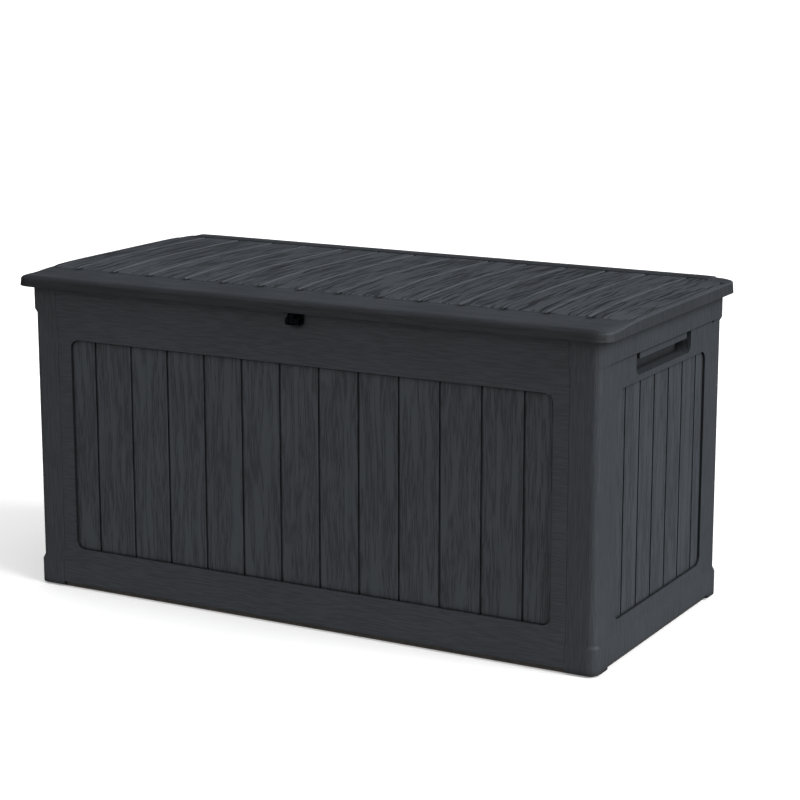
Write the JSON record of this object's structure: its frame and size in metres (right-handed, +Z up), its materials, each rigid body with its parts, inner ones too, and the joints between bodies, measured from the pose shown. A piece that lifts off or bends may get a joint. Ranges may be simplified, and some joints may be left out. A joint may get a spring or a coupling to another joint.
{
  "type": "deck storage box",
  "caption": "Long resin deck storage box with wood-grain plank panels, plinth, side hand grips, padlock loop and a crowned lid hinged at the back.",
  "frame": {"origin": "on the ground, under the middle of the whole box with its lid overhangs", "axes": "+X to the right seen from the front, +Y to the back, +Z up; the front with the padlock loop faces -Y"},
  "size_m": [1.262, 0.6198, 0.633],
  "materials": {
    "wall_resin": "satin",
    "lid_resin": "satin",
    "liner_resin": "satin",
    "base_resin": "matte",
    "hinge_resin": "satin",
    "black_gloss": "gloss",
    "zinc_steel": "zinc plated",
    "tube_steel": "galvanised",
    "rubber": "matte"
  },
  "bodies": {
    "box": {"front_panel": "wall_resin", "back_panel": "wall_resin", "left_side_panel": "wall_resin", "right_side_panel": "wall_resin", "base_pan": "base_resin", "base_screws": "zinc_steel", "corner_screws": "zinc_steel", "hinge_bracket_1": "hinge_resin", "hinge_bracket_2": "hinge_resin", "hinge_bracket_3": "hinge_resin", "hinge_pin_1": "zinc_steel", "hinge_pin_2": "zinc_steel", "hinge_pin_3": "zinc_steel", "hinge_bracket_screws": "zinc_steel", "padlock_bracket": "black_gloss", "padlock_bracket_screws": "zinc_steel"},
    "lid": {"lid_shell": "lid_resin", "lid_liner": "liner_resin", "lid_liner_screws": "zinc_steel", "lid_stiffener_front": "tube_steel", "lid_stiffener_rear": "tube_steel", "lid_bumpers": "rubber", "hinge_leaf_1": "hinge_resin", "hinge_leaf_2": "hinge_resin", "hinge_leaf_3": "hinge_resin", "hinge_leaf_screws": "zinc_steel", "padlock_lid_lug": "black_gloss", "padlock_lid_lug_screws": "zinc_steel"}
  },
  "joints": [
    {"name": "lid_hinge", "type": "hinge", "parent": "box", "child": "lid", "pos_m": [0, 0.3042, 0.604], "axis": [-1, 0, 0], "range_deg": [0, 100]}
  ]
}
